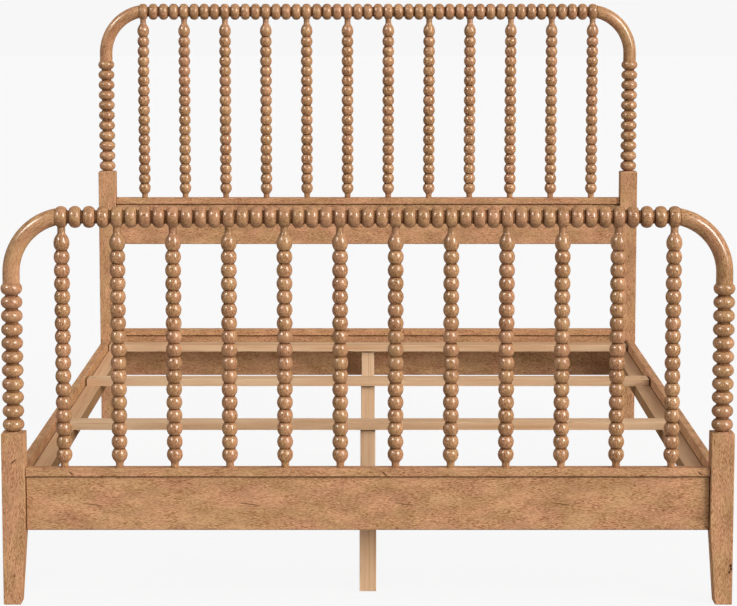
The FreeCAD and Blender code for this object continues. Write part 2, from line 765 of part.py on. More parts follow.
def corner_copies(master, label):
    """A copy at each of the four corners where a side rail meets a post."""
    return [
        copy_of(master, f"{label}_{end}_{side}", f"{SIDES[side]} * rail_middle_x",
                f"{ENDS[end]} * bay_half_length", turn=HALF_TURN if end == "head" else NO_TURN)
        for end in ENDS for side in SIDES
    ]


def make_bend_dowels():
    """One upright dowel in each post's crown and one level dowel in each end of the top rails."""
    dowels = []
    level = FreeCAD.Rotation(FreeCAD.Vector(0, 1, 0), 90)
    for end in ENDS:
        for side, way in SIDES.items():
            upright = pin(f"crown_dowel_{end}_{side}", "dowel_diameter", "2 * dowel_depth")
            place(upright, f"{way} * post_x", f"{ENDS[end]} * post_y",
                  f"seat_height + {END_RAISE[end]} - dowel_depth")
            across = pin(f"rail_dowel_{end}_{side}", "dowel_diameter", "2 * dowel_depth")
            place(across, f"{way} * top_rail_end_x - dowel_depth", f"{ENDS[end]} * post_y",
                  f"rail_axis_height + {END_RAISE[end]}", level)
            dowels += [upright, across]
    return group("bend_dowels", dowels)


def make_ledger_screws(master):
    """The ledgers' screws, driven outwards into the side rails."""
    screws = []
    for side, way in SIDES.items():
        turn = FreeCAD.Rotation(FreeCAD.Vector(0, 1, 0), -90 * way)
        for number in range(SIZES["ledger_screw_count"]):
            y = f"ledger_screw_pitch * {number} - ledger_screw_span / 2"
            x = f"{way} * (rail_inner_x - ledger_width)"
            screws.append(copy_of(master, f"ledger_screw_{side}_{number}", x, y, "ledger_screw_z", turn))
    return group("ledger_screws", screws)


def make_slat_screws(master):
    """One screw down through each end of each slat into the ledger."""
    screws = [
        copy_of(master, f"slat_screw_{side}_{number}", f"{way} * ledger_middle_x", middle,
                "ledger_top + slat_thickness")
        for side, way in SIDES.items() for number, middle in enumerate(SLAT_MIDDLES)
    ]
    return group("slat_screws", screws)


def make_leg_bolts():
    """A hanger bolt between each centre leg and its slat."""
    bolts = []
    for number, middle in enumerate(SLAT_MIDDLES):
        bolt = pin(f"leg_bolt_{number}", "bolt_diameter", "bolt_in_leg + bolt_in_slat")
        place(bolt, "0", middle, "ledger_top - bolt_in_leg")
        bolts.append(bolt)
    return group("leg_bolts", bolts)


# The whole bed

nodes = [make_post(end, side) for end in ENDS for side in SIDES]

bend = make_bend_master()
top_rail = make_top_rail_master()
spindle = make_spindle_master()
spindle_cap = make_cap_master("spindle_cap_master", True)
plain_cap = make_cap_master("plain_cap_master", False)
panel = make_panel_master()
along_x = FreeCAD.Rotation(FreeCAD.Vector(0, 1, 0), 90)

for end, way in ENDS.items():
    y = f"{way} * post_y"
    raised = END_RAISE[end]
    for side, hand in SIDES.items():
        nodes.append(copy_of(bend, f"{end}_bend_{side}", f"{hand} * (post_x - bend_radius)", y,
                             f"seat_height + bend_lead + {raised}", HALF_TURN if hand < 0 else NO_TURN))
    nodes.append(copy_of(top_rail, f"{end}_top_rail", "0", y, f"rail_axis_height + {raised}", along_x))
    for number in range(SIZES["spindle_count"]):
        x = f"spindle_pitch * {number} - spindle_span / 2"
        nodes.append(copy_of(spindle, f"{end}_spindle_{number + 1:02d}", x, y,
                             f"cap_top_height + {raised}"))

CROSS_RAILS = {
    "foot": ("foot", "0", spindle_cap),
    "head_lower": ("head", "0", plain_cap),
    "head_mid": ("head", "head_raise", spindle_cap),
}
for name, (end, raised, cap) in CROSS_RAILS.items():
    y = f"{ENDS[end]} * post_y"
    nodes.append(copy_of(cap, f"{name}_cap", "0", y, f"panel_top + {raised}"))
    nodes.append(copy_of(panel, f"{name}_panel", "0", y, f"panel_bottom + {raised}"))

side_rail = make_side_rail_master()
for side, hand in SIDES.items():
    nodes.append(copy_of(side_rail, f"side_rail_{side}", f"{hand} * rail_middle_x",
                         turn=HALF_TURN if hand < 0 else NO_TURN))
    nodes.append(make_ledger(side))

slat = make_slat_master()
leg = make_leg_master()
for number, middle in enumerate(SLAT_MIDDLES, start=1):
    nodes.append(copy_of(slat, f"slat_{number}", "0", middle, "ledger_top"))
    nodes.append(copy_of(leg, f"centre_leg_{number}", "0", middle))

nodes.append(make_bend_dowels())
nodes.append(group("post_slot_plates", corner_copies(make_slot_plate_master(), "slot_plate")))
nodes.append(group("rail_hook_plates", corner_copies(make_hook_plate_master(), "hook_plate")))
nodes.append(make_ledger_screws(make_screw_master("ledger_screw_master", "ledger_screw_length")))
nodes.append(make_slat_screws(make_screw_master("slat_screw_master", "slat_screw_length")))
nodes.append(make_leg_bolts())

doc.recompute()

for item in doc.Objects:
    if "Invalid" in item.State or "Error" in item.State:
        raise RuntimeError(f"{item.Label} failed: {item.State}")

shapes = {item.Label: Part.getShape(item) for item in nodes}
for label, shape in shapes.items():
    if shape.isNull() or not shape.isValid():
        raise RuntimeError(f"{label} has no valid shape")

os.makedirs("parts", exist_ok=True)
for label, shape in shapes.items():
    shape.exportStep(os.path.join("parts", f"{label}.step"))
print(len(shapes), "pieces written")
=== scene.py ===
import math
from typing import NamedTuple

import bpy
import numpy as np
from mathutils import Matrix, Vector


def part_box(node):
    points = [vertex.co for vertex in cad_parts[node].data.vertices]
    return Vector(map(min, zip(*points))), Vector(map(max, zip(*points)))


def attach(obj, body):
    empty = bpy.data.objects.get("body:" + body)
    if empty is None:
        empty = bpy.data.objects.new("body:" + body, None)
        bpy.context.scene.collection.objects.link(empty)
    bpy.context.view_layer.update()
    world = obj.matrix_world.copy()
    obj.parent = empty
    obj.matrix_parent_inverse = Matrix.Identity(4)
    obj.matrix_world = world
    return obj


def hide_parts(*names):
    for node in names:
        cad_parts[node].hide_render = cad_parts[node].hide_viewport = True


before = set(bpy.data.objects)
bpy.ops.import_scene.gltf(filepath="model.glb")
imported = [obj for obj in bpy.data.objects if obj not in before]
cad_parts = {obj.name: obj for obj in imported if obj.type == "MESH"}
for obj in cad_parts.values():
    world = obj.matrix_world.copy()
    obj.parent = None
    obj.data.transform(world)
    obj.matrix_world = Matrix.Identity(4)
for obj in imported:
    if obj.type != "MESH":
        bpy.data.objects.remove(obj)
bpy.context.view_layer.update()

# Shapes are worked out in millimetres and put into meshes in metres
MM = 0.001

# Posts: ring beads turned above a square that tapers on its inner side below the panel
TURNED_HEIGHT = 325.4
BASE_RING_HEIGHT = 1.9
BASE_RING_RADIUS = 19.0
POST_BEADS = 11
POST_BEAD_HEIGHT = 26.0
POST_BEAD_RADIUS = 23.5
POST_NECK_RADIUS = 14.0
FOOT_TAPER = 12.0
POST_EASE = 2.0

# Bent corners
BEND_HEIGHT = 144.9
BEND_LEAD = 23.0
JOINT_EASE = 0.7

# Top rails: a drilled bead over each spindle and three plain beads between
SPINDLES = 12
BEADS_PER_SPINDLE = 4
PLAIN_BEAD_WIDTH = 25.2
DRILLED_BEAD_WIDTH = 24.4
DRILLED_BEAD_RADIUS = 23.4
RAIL_NECK_RADIUS = 14.5
PLAIN_BEAD_SQUARENESS = 2.05
DRILLED_BEAD_SQUARENESS = 2.3

# Spindles
SPINDLE_BEADS = 15
GROOVE_RADIUS = 11.2
SPINDLE_NECK_RADIUS = 8.5
NECK_HOLLOW_RADIUS = 9.0
VASE_HEIGHT = 39.8
VASE_SHOULDER = 24.6
ONION_HEIGHT = 34.2
ONION_SHOULDER = 20.6
TOP_NECK = 9.25
BOTTOM_NECK = 8.0
TOP_TENON = 15.0
BOTTOM_TENON = 11.0

# Boards
SLATS = 4
CENTRE_LEGS = 4
TENON_LENGTH = 18.0
TENON_THICKNESS = 10.0
TENON_SHOULDER = 14.0
TENON_EASE = 0.8
CAP_EASE = 1.8
PANEL_EASE = 3.0
SIDE_RAIL_EASE = 2.5
LEG_EASE = 1.5

# The most painted shade along the edges of beads and in joints, as a share of full cover, how far it
# reaches from a bead's edge, and how steeply it ends over a joint's easing: dark colour that stands in for
# the shade in grooves, necks and joints
POST_PAINTED_SHADE = 0.85
RAIL_PAINTED_SHADE = 0.9
SPINDLE_PAINTED_SHADE = 0.8
JOINT_PAINTED_SHADE = 0.95
PAINTED_SHADE_LINE = 3.5
JOINT_SHARPNESS = 2.6
# The share of painted shade at which no lacquer shines
PAINTED_SHADE_DULLS = 0.25

# How finely the surfaces are drawn
POST_SIDES = 56
BEND_SIDES = 48
RAIL_SIDES = 56
SPINDLE_SIDES = 40
BEAD_STEPS = 14
BEND_STEPS = 40
CORNER_STEPS = 4
# An eased end starts this far round its quarter circle, in radians, and a corner keeps at least this
# radius, so that no face is empty
END_START = 0.05
LEAST_EASE = 0.05
# A summed normal counts as at least this long, so that none is divided by nothing
SHORTEST_NORMAL = 1e-9

# Each piece is cut from its own place in the timber, up to this far along and across
TIMBER_SPREAD = 3000.0
TIMBER_SEED = 11
timber = np.random.default_rng(TIMBER_SEED)

# Which axes of a piece's own frame, whose third runs along the grain, become X, Y and Z
ALONG_X = [2, 0, 1]
ALONG_Y = [1, 2, 0]
ALONG_Z = [0, 1, 2]


def node_box(node):
    """A CAD node's lowest and highest corners in millimetres."""
    return (np.array(corner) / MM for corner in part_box(node))


# Surfaces

def lathe(outline, sides):
    """A turned surface. outline holds (place along the axis, radius) in rows; the point at row i and
    angle a is (radius cos a, radius sin a, place)."""
    angle = np.linspace(0, 2 * math.pi, sides, endpoint=False)
    along, radius = outline[:, :1], outline[:, 1:]
    points = np.broadcast_arrays(radius * np.cos(angle), radius * np.sin(angle), along)
    return np.stack(points, axis=-1)


def swell(middle, widest, radius, start, end):
    """Part of a bead's outline, an arc at its widest level with its middle: at angle a the place is
    middle + radius sin a and the radius widest - radius (1 - cos a). A negative radius makes a hollow."""
    angle = np.linspace(start, end, BEAD_STEPS)
    return np.stack([middle + radius * np.sin(angle), widest - radius * (1 - np.cos(angle))], axis=-1)


def straight(start, end, radius):
    """A cylinder's outline."""
    return np.array([[start, radius], [end, radius]])


def arc_radius(along, across):
    """Radius of an arc that leaves its widest point level and drops by across over along."""
    return (along ** 2 + across ** 2) / (2 * across)


def eased_bar(along, left, right, low, high, ease):
    """A bar whose section is a rectangle with round corners: at each place along it, four quarter circles
    of the easing's radius about centres set in from the corners by as much. All arguments are arrays over
    the places, or numbers."""
    sizes = np.broadcast_arrays(*map(np.asarray, (along, left, right, low, high, ease)))
    along, left, right, low, high, ease = (size.astype(float)[:, None] for size in sizes)
    quarter = np.linspace(0, math.pi / 2, CORNER_STEPS + 1)
    angle = (np.arange(4)[:, None] * math.pi / 2 + quarter).ravel()
    on_right = np.repeat([True, False, False, True], CORNER_STEPS + 1)
    on_top = np.repeat([True, True, False, False], CORNER_STEPS + 1)
    across = np.where(on_right, right - ease, left + ease) + ease * np.cos(angle)
    up = np.where(on_top, high - ease, low + ease) + ease * np.sin(angle)
    return np.stack(np.broadcast_arrays(across, up, along), axis=-1)


def rounded_ends(start, end, ease):
    """Places along a bar and how far its section is set in there, so that each end is a quarter circle in
    profile: at angle a from the end face the place is ease (1 - cos a) in, set in by ease (1 - sin a)."""
    angle = np.linspace(END_START, math.pi / 2, CORNER_STEPS + 1)
    place = ease * (1 - np.cos(angle))
    set_in = ease * (1 - np.sin(angle))
    return np.concatenate([start + place, (end - place)[::-1]]), np.concatenate([set_in, set_in[::-1]])


def eased_block(half_width, half_height, half_length, ease):
    """A block with every edge rounded: a bar about its own middle with eased corners and eased ends."""
    along, set_in = rounded_ends(-half_length, half_length, ease)
    width, height = half_width - set_in, half_height - set_in
    return eased_bar(along, -width, width, -height, height, np.maximum(ease - set_in, LEAST_EASE))


def shell_faces(rings, first):
    """Faces of a closed shell, numbered from first: quads between neighbouring rings all the way round,
    and a fan from each end ring to its middle. The middles follow the rings' points."""
    count, around = rings.shape[:2]
    here = first + np.arange(count * around).reshape(count, around)
    ahead = np.roll(here, -1, axis=1)
    quads = np.stack([here[:-1], ahead[:-1], ahead[1:], here[1:]], axis=-1).reshape(-1, 4)
    poles = first + count * around + np.repeat([0, 1], around)
    starts = np.concatenate([ahead[0], here[-1]])
    ends = np.concatenate([here[0], ahead[-1]])
    return quads, np.stack([starts, ends, poles], axis=-1)


def with_poles(rings):
    """A shell's points in order: its rings, then the middles of its first and last ring."""
    return np.concatenate([rings.reshape(-1, 3), [rings[0].mean(axis=0), rings[-1].mean(axis=0)]])


def soft_normals(points, quads, fans):
    """Each point's normal as the sum of its faces' normals times their areas, so that flat faces stay flat
    and the eased edges between them shade as round."""
    total = np.zeros_like(points)
    for faces, far in ((quads, 3), (fans, 2)):
        corner = points[faces]
        area = np.cross(corner[:, 2] - corner[:, 0], corner[:, far] - corner[:, 1])
        for column in range(faces.shape[1]):
            np.add.at(total, faces[:, column], area)
    length = np.linalg.norm(total, axis=1, keepdims=True)
    return total / np.maximum(length, SHORTEST_NORMAL)


class Shell(NamedTuple):
    """A closed surface as rings of points, its finish, and the share of painted shade on all of it, on each
    ring or on each point: dark colour standing in for the shade in grooves and joints."""
    rings: np.ndarray
    finish: bpy.types.Material
    painted_shade: np.ndarray | float = 0.0


def add_piece(node, shells, placed, wood):
    """A piece in place of a CAD node. placed has each shell's rings in the row frame and wood the same
    rings in the timber's own frame, whose third axis runs along the grain."""
    finishes = list(dict.fromkeys(shell.finish for shell in shells))
    points, grain, painted_shade, quads, fans, quad_finish, fan_finish = ([] for _ in range(7))
    first = 0
    for shell, rings, grown in zip(shells, placed, wood):
        shell_quads, shell_fans = shell_faces(rings, first)
        points.append(with_poles(rings))
        grain.append(with_poles(grown))
        painted_shade.append(np.append(np.broadcast_to(shell.painted_shade, rings.shape[:2]), [0, 0]))
        quads.append(shell_quads)
        fans.append(shell_fans)
        quad_finish.append(np.full(len(shell_quads), finishes.index(shell.finish)))
        fan_finish.append(np.full(len(shell_fans), finishes.index(shell.finish)))
        first += len(points[-1])
    points, grain, painted_shade, quads, fans = map(np.concatenate, (points, grain, painted_shade, quads, fans))
    name = "visible_" + node
    mesh = bpy.data.meshes.new(name)
    mesh.from_pydata(points * MM, [], quads.tolist() + fans.tolist())
    mesh.polygons.foreach_set("use_smooth", np.ones(len(mesh.polygons), dtype=bool))
    for finish in finishes:
        mesh.materials.append(finish)
    mesh.polygons.foreach_set("material_index", np.concatenate(quad_finish + fan_finish).astype(np.int32))
    layer = mesh.attributes.new("grain", "FLOAT_VECTOR", "POINT")
    layer.data.foreach_set("vector", grain.astype(np.float32).ravel())
    layer = mesh.attributes.new("painted_shade", "FLOAT", "POINT")
    layer.data.foreach_set("value", painted_shade.astype(np.float32))
    mesh.normals_split_custom_set_from_vertices(soft_normals(points, quads, fans))
    piece = bpy.data.objects.new(name, mesh)
    bpy.context.scene.collection.objects.link(piece)
    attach(piece, "root")
    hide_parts(node)


def cut_from_timber(shapes):
    """The same rings in the timber's frame: turned about the grain and set off by chance."""
    turn = timber.uniform(0, 2 * math.pi)
    offset = timber.uniform(0, TIMBER_SPREAD, 3)
    turned = np.array([
        [math.cos(turn), math.sin(turn), 0],
        [-math.sin(turn), math.cos(turn), 0],
        [0, 0, 1],
    ])
    return [shape @ turned + offset for shape in shapes]


def add_straight(node, shells, order, centre):
    """A piece whose grain runs straight along one axis. The shells lie about the piece's own middle, with
    their third axis along the grain, which order lays along an axis of the row frame."""
    shapes = [shell.rings for shell in shells]
    placed = [shape[..., order] + centre for shape in shapes]
    add_piece(node, shells, placed, cut_from_timber(shapes))


def edge_painted_shade(outline, edges, radius, most):
    """The share of painted shade at each row of a turned outline, dark colour standing in for the shade in
    the grooves: the most on the edges of the beads, which lie at the given places and radius, and from
    there evenly down to none at the width of a shade line."""
    along = np.abs(outline[:, :1] - edges).min(axis=1, keepdims=True)
    distance = np.hypot(along, outline[:, 1:] - radius)
    return most * (1 - distance / PAINTED_SHADE_LINE).clip(0, 1)


def joint_painted_shade(block, ease, under_cap):
    """The share of painted shade at each point of an eased block by the joints at its ends, and under the
    cap where under_cap is true, standing in for the shade in the joints and the cap's shadow: the most on
    the joint and none where the easing ends."""
    up, along = block[..., 1], np.abs(block[..., 2])
    from_joint = along.max() - along
    if under_cap:
        from_joint = np.minimum(from_joint, up.max() - up)
    return JOINT_PAINTED_SHADE * (JOINT_SHARPNESS * (1 - from_joint / ease)).clip(0, 1)


# Materials

def linear(code):
    """A colour from its sRGB hex value, as linear RGBA."""
    channels = np.array([int(code[place:place + 2], 16) for place in (0, 2, 4)]) / 255
    low = channels / 12.92
    high = ((channels + 0.055) / 1.055) ** 2.4
    return (*np.where(channels <= 0.04045, low, high), 1.0)


def add_node(tree, kind, sockets=None, stops=None, **settings):
    """Add a shader node with its settings. sockets gives each input, by name or number, a value or another
    node's output to link, and stops the colours of a ramp by place."""
    made = tree.nodes.new("ShaderNode" + kind)
    for name, setting in settings.items():
        setattr(made, name, setting)
    for socket, source in (sockets or {}).items():
        if isinstance(source, bpy.types.NodeSocket):
            tree.links.new(source, made.inputs[socket])
        else:
            made.inputs[socket].default_value = source
    if stops:
        ramp = made.color_ramp.elements
        while len(ramp) < len(stops):
            ramp.new(1.0)
        for stop, (place, code) in zip(ramp, stops):
            stop.position = place
            stop.color = linear(code)
    return made


def new_material(name):
    """An empty node material and its tree."""
    material = bpy.data.materials.new(name)
    material.use_nodes = True
    material.node_tree.nodes.clear()
    return material, material.node_tree


def pattern(tree, vector, across, along, detail, roughness=0.5, output="Fac"):
    """Noise whose patches measure about across by across by along millimetres, the last along the third
    axis of a vector given in millimetres."""
    stretched = add_node(tree, "Mapping", {"Vector": vector, "Scale": (1 / across, 1 / across, 1 / along)})
    noise = add_node(tree, "TexNoise", {
        "Vector": stretched.outputs["Vector"], "Scale": 1.0, "Detail": detail, "Roughness": roughness})
    return noise.outputs[output]


def place_in_mm(tree):
    """Object coordinates in millimetres."""
    place = add_node(tree, "TexCoord").outputs["Object"]
    return add_node(tree, "VectorMath", {0: place, "Scale": 1 / MM}, operation="SCALE").outputs["Vector"]


# What darkens the wood, with painted shade in grooves and joints
PORE = "7d5131"
# Painted shade: the colour laid into grooves, necks and joints, where shade falls
PAINTED_GROOVE_SHADE = "451c02"
CHECK = "2e1606"
LATEWOOD = "ad835a"
# Dust and painted shade where slats, ledgers and legs meet other parts, the shade standing in for the
# contact shade there
JOINT_DUST_AND_SHADE = "472a14"
# The colour of the ledger's darker inner face
DARK_INNER_FACE = "7a593b"

# Sockets of a Mix node set to colours, which has those of its other kinds of data before them
FACTOR, UNDER, OVER = 0, 6, 7
MIXED = 2

# Short checks and small knots on front faces: the node, how far across from its middle, the height, the
# length and width, all in millimetres, the slope in degrees and the share of full darkness
WOOD_MARKS = [
    ("foot_post_left", 1.3, 318, 22, 4.4, 42, 0.8),
    ("foot_post_left", -0.5, 64, 7, 3.6, 80, 0.7),
    ("foot_post_right", 20.5, 87, 11, 7.0, 86, 1.0),
    ("foot_post_right", 21, 80, 9, 6.0, 86, 1.0),
    ("foot_post_right", 18, 73, 11, 6.0, 70, 0.9),
    ("foot_cap", -645, 290, 18, 4.2, -39, 0.8),
    ("foot_cap", 36, 289, 18, 4.2, -43, 0.8),
    ("foot_cap", 723, 290, 17, 4.2, -39, 0.8),
    ("foot_panel", -599, 220, 64, 2.6, -8, 0.8),
    ("foot_panel", -258, 221, 62, 2.6, -8, 0.8),
    ("foot_panel", 81, 221, 58, 2.6, -8, 0.8),
    ("foot_panel", 423, 221, 56, 2.4, -8, 0.8),
]
# How deep a mark reaches, and how deep the darkening of the ledger's inner face
MARK_DEPTH = 6.0
DARK_FACE_DEPTH = 1.5


def wood_marks(tree):
    """A mask of the marks, each an ellipsoid about a point of its face that is full from halfway in."""
    place = place_in_mm(tree)
    mask = 0.0
    for node, across, height, length, width, slope, share in WOOD_MARKS:
        low, high = node_box(node)
        middle = ((low + high)[0] / 2 + across, low[1], height)
        inside = add_node(tree, "Mapping", {
            "Vector": place, "Location": middle, "Rotation": (0, -math.radians(slope), 0),
            "Scale": (length / 2, MARK_DEPTH, width / 2)}, vector_type="TEXTURE")
        distance = add_node(tree, "VectorMath", {0: inside.outputs["Vector"]}, operation="LENGTH")
        dark = add_node(tree, "MapRange", {
            "Value": distance.outputs["Value"], "From Min": 1.0, "From Max": 0.5, "To Max": share})
        mask = add_node(tree, "Math", {0: dark.outputs["Result"], 1: mask}, operation="MAXIMUM").outputs[0]
    return mask


def lacquered_hardwood(name, stains, coat, coat_roughness, marked):
    """Brown-stained hardwood under clear lacquer. The stain takes unevenly, so red and tan clouds drift
    along wavy fibres; pores stay as short dark dashes, and painted shade, dark colour standing in for the
    shade that falls there, darkens grooves and joints.
    Turned work cuts across the fibres, which drink more stain; bent work lies between it and boards. coat
    is the lacquer's weight and coat_roughness how dull it is: turned and bent work is rubbed to a sheen and
    boards are left dull. marked adds the checks and knots of front faces."""
    material, tree = new_material(name)
    grain = add_node(tree, "Attribute", attribute_name="grain").outputs["Vector"]
    waves = pattern(tree, grain, across=30, along=60, detail=1, output="Color")
    wavy = add_node(tree, "VectorMath", {0: waves, 1: (14, 14, 0), 2: grain}, operation="MULTIPLY_ADD")
    wavy = wavy.outputs["Vector"]
    hue = pattern(tree, wavy, across=36, along=80, detail=2)
    stain = add_node(tree, "ValToRGB", {"Fac": hue}, stops=list(zip((0.36, 0.64), stains)))
    clouds = pattern(tree, wavy, across=26, along=70, detail=2, roughness=0.6)
    tone = add_node(tree, "ValToRGB", {"Fac": clouds}, stops=[(0.3, "dedbd8"), (0.7, "ffffff")])
    clouded = add_node(tree, "Mix", {
        FACTOR: 1.0, UNDER: stain.outputs["Color"], OVER: tone.outputs["Color"]},
        data_type="RGBA", blend_type="MULTIPLY").outputs[MIXED]
    # Some patches are close-grained and smooth, and others open
    patches = pattern(tree, wavy, across=34, along=70, detail=1)
    open_grain = add_node(tree, "MapRange", {
        "Value": patches, "From Min": 0.36, "From Max": 0.58, "To Min": 0.65}).outputs["Result"]
    # True fibres and pores are finer than a tenth of a millimetre; they are drawn wide enough to show
    fibres = pattern(tree, wavy, across=1.2, along=7, detail=2, roughness=0.6)
    streak = add_node(tree, "ValToRGB", {"Fac": fibres},
                      stops=[(0.3, "9a8573"), (0.5, "e6dfd8"), (0.64, "ffffff")])
    streaked = add_node(tree, "Mix", {FACTOR: open_grain, UNDER: clouded, OVER: streak.outputs["Color"]},
                        data_type="RGBA", blend_type="MULTIPLY").outputs[MIXED]
    pores = pattern(tree, wavy, across=1.4, along=11, detail=0)
    pore_mask = add_node(tree, "MapRange", {
        "Value": pores, "From Min": 0.6, "From Max": 0.75, "To Max": open_grain}).outputs["Result"]
    colour = add_node(tree, "Mix", {FACTOR: pore_mask, UNDER: streaked, OVER: linear(PORE)},
                      data_type="RGBA").outputs[MIXED]
    # Painted shade: dark colour in grooves, necks and joints, standing in for the shade that falls there
    painted_shade = add_node(tree, "Attribute", attribute_name="painted_shade").outputs["Fac"]
    colour = add_node(tree, "Mix", {FACTOR: painted_shade, UNDER: colour, OVER: linear(PAINTED_GROOVE_SHADE)},
                      data_type="RGBA").outputs[MIXED]
    if marked:
        colour = add_node(tree, "Mix", {FACTOR: wood_marks(tree), UNDER: colour, OVER: linear(CHECK)},
                          data_type="RGBA").outputs[MIXED]
    shine = add_node(tree, "MapRange", {
        "Value": painted_shade, "From Max": PAINTED_SHADE_DULLS, "To Min": coat, "To Max": 0.0})
    dull = add_node(tree, "MapRange", {"Value": fibres, "To Min": 0.5, "To Max": 0.7})
    bump = add_node(tree, "Bump", {"Strength": 0.2, "Distance": 0.0003, "Height": fibres})
    surface = add_node(tree, "BsdfPrincipled", {
        "Base Color": colour, "Roughness": dull.outputs["Result"],
        "Normal": bump.outputs["Normal"], "Specular IOR Level": 0.0,
        "Coat Weight": shine.outputs["Result"], "Coat Roughness": coat_roughness, "Coat IOR": 1.5})
    add_node(tree, "OutputMaterial", {"Surface": surface.outputs["BSDF"]})
    return material


def planed_pine(name, turn, tones, joint_axis, joint, dust_and_shade_width, dark_face_x=None):
    """Bare planed pine: pale straw earlywood with narrow darker latewood lines along the board, dull. turn
    lays the pattern's third axis along the board. Dust and painted shade darken the joint that lies that
    far along an axis, on both sides of the bed's middle, the shade standing in for the contact shade there,
    and a piece given the place of a face in its last argument has that face darker."""
    material, tree = new_material(name)
    place = place_in_mm(tree)
    grain = add_node(tree, "Mapping", {"Vector": place, "Rotation": turn}).outputs["Vector"]
    boards = pattern(tree, grain, across=40, along=400, detail=2)
    tone = add_node(tree, "ValToRGB", {"Fac": boards}, stops=list(zip((0.3, 0.5, 0.7), tones)))
    rings = pattern(tree, grain, across=5, along=260, detail=3, roughness=0.6)
    late = add_node(tree, "MapRange", {
        "Value": rings, "From Min": 0.52, "From Max": 0.68, "To Max": 0.6}).outputs["Result"]
    colour = add_node(tree, "Mix", {FACTOR: late, UNDER: tone.outputs["Color"], OVER: linear(LATEWOOD)},
                      data_type="RGBA").outputs[MIXED]
    reach = add_node(tree, "SeparateXYZ", {"Vector": place}).outputs[joint_axis]
    from_middle = add_node(tree, "Math", {0: reach}, operation="ABSOLUTE").outputs[0]
    # Dust and painted shade by the joint
    dust_and_shade = add_node(tree, "MapRange", {
        "Value": from_middle, "From Min": joint - dust_and_shade_width, "From Max": joint - dust_and_shade_width / 2,
        "To Max": 0.85}).outputs["Result"]
    colour = add_node(tree, "Mix", {FACTOR: dust_and_shade, UNDER: colour, OVER: linear(JOINT_DUST_AND_SHADE)},
                      data_type="RGBA").outputs[MIXED]
    # The ledger's inner face is darker
    if dark_face_x:
        dark_face = add_node(tree, "MapRange", {
            "Value": from_middle, "From Min": dark_face_x + DARK_FACE_DEPTH, "From Max": dark_face_x,
            "To Max": 0.8}).outputs["Result"]
        colour = add_node(tree, "Mix", {FACTOR: dark_face, UNDER: colour, OVER: linear(DARK_INNER_FACE)},
                          data_type="RGBA").outputs[MIXED]
    bump = add_node(tree, "Bump", {"Strength": 0.15, "Distance": 0.0003, "Height": rings})
    surface = add_node(tree, "BsdfPrincipled", {
        "Base Color": colour, "Roughness": 0.7, "Normal": bump.outputs["Normal"],
        "Specular IOR Level": 0.0})
    add_node(tree, "OutputMaterial", {"Surface": surface.outputs["BSDF"]})
    return material


def plated_steel(name, dark, light):
    """Plated steel, slightly blotched from the plating bath and dull: zinc is grey and bronze is brown."""
    material, tree = new_material(name)
    blotches = pattern(tree, place_in_mm(tree), across=4, along=4, detail=4)
    colour = add_node(tree, "ValToRGB", {"Fac": blotches}, stops=[(0.35, dark), (0.65, light)])
    dull = add_node(tree, "MapRange", {"Value": blotches, "To Min": 0.5, "To Max": 0.7})
    surface = add_node(tree, "BsdfPrincipled", {
        "Base Color": colour.outputs["Color"], "Metallic": 1.0, "Roughness": dull.outputs["Result"]})
    add_node(tree, "OutputMaterial", {"Surface": surface.outputs["BSDF"]})
    return material


def dowel_beech():
    """Bare beech dowel rod: even pinkish straw with short brown ray flecks."""
    material, tree = new_material("bare_beech")
    flecks = pattern(tree, place_in_mm(tree), across=1.2, along=4, detail=2)
    colour = add_node(tree, "ValToRGB", {"Fac": flecks}, stops=[(0.45, "d8b68f"), (0.7, "b98d63")])
    surface = add_node(tree, "BsdfPrincipled", {
        "Base Color": colour.outputs["Color"], "Roughness": 0.6, "IOR": 1.45})
    add_node(tree, "OutputMaterial", {"Surface": surface.outputs["BSDF"]})
    return material


# Turns that lay a pattern's third axis across the bed, along it and upright
CROSSWISE = (0, -math.pi / 2, 0)
LENGTHWISE = (math.pi / 2, 0, 0)
UPRIGHT = (0, 0, 0)

turned_wood = lacquered_hardwood("rubbed_lacquered_hardwood", ("c29574", "bd976f"),
                                 coat=0.12, coat_roughness=0.22, marked=False)
bent_wood = lacquered_hardwood("rubbed_lacquered_bent_hardwood", ("cb9c79", "c59e74"),
                               coat=0.12, coat_roughness=0.22, marked=False)
board_wood = lacquered_hardwood("dull_lacquered_hardwood", ("d0a07d", "caa278"),
                                coat=0.03, coat_roughness=0.5, marked=True)
rail_inner_x = -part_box("side_rail_left")[1].x / MM
slat_end_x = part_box("slat_1")[1].x / MM
slat_pine = planed_pine("planed_pine_crosswise", CROSSWISE, ("b79371", "c09e7e", "c9aa8a"),
                        "X", slat_end_x, dust_and_shade_width=4)
ledger_edge_x = -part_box("ledger_left")[1].x / MM
light_ledger = planed_pine("light_planed_pine_lengthwise", LENGTHWISE, ("bf9976", "c7a27e", "ceaa88"),
                           "X", rail_inner_x, dust_and_shade_width=3, dark_face_x=ledger_edge_x)
# The right ledger is a darker copy of the same pine: painted shade standing in for the shadow that the
# right side rail casts on it
painted_shade_ledger = planed_pine("painted_shade_planed_pine_lengthwise", LENGTHWISE, ("ab8768", "b38f6f", "ba9778"),
                          "X", rail_inner_x, dust_and_shade_width=3, dark_face_x=ledger_edge_x)
leg_top_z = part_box("centre_leg_1")[1].z / MM
# The legs' tops get dust and painted shade, standing in for the slats' contact shade
leg_pine = planed_pine("planed_pine_upright", UPRIGHT, ("c4a07d", "ceac8c", "d6b999"),
                       "Z", leg_top_z, dust_and_shade_width=6)
zinc = plated_steel("zinc_plated_steel", "a9adb0", "c9ccce")
bronze = plated_steel("bronze_plated_steel", "6b4a2e", "86633f")


# Posts

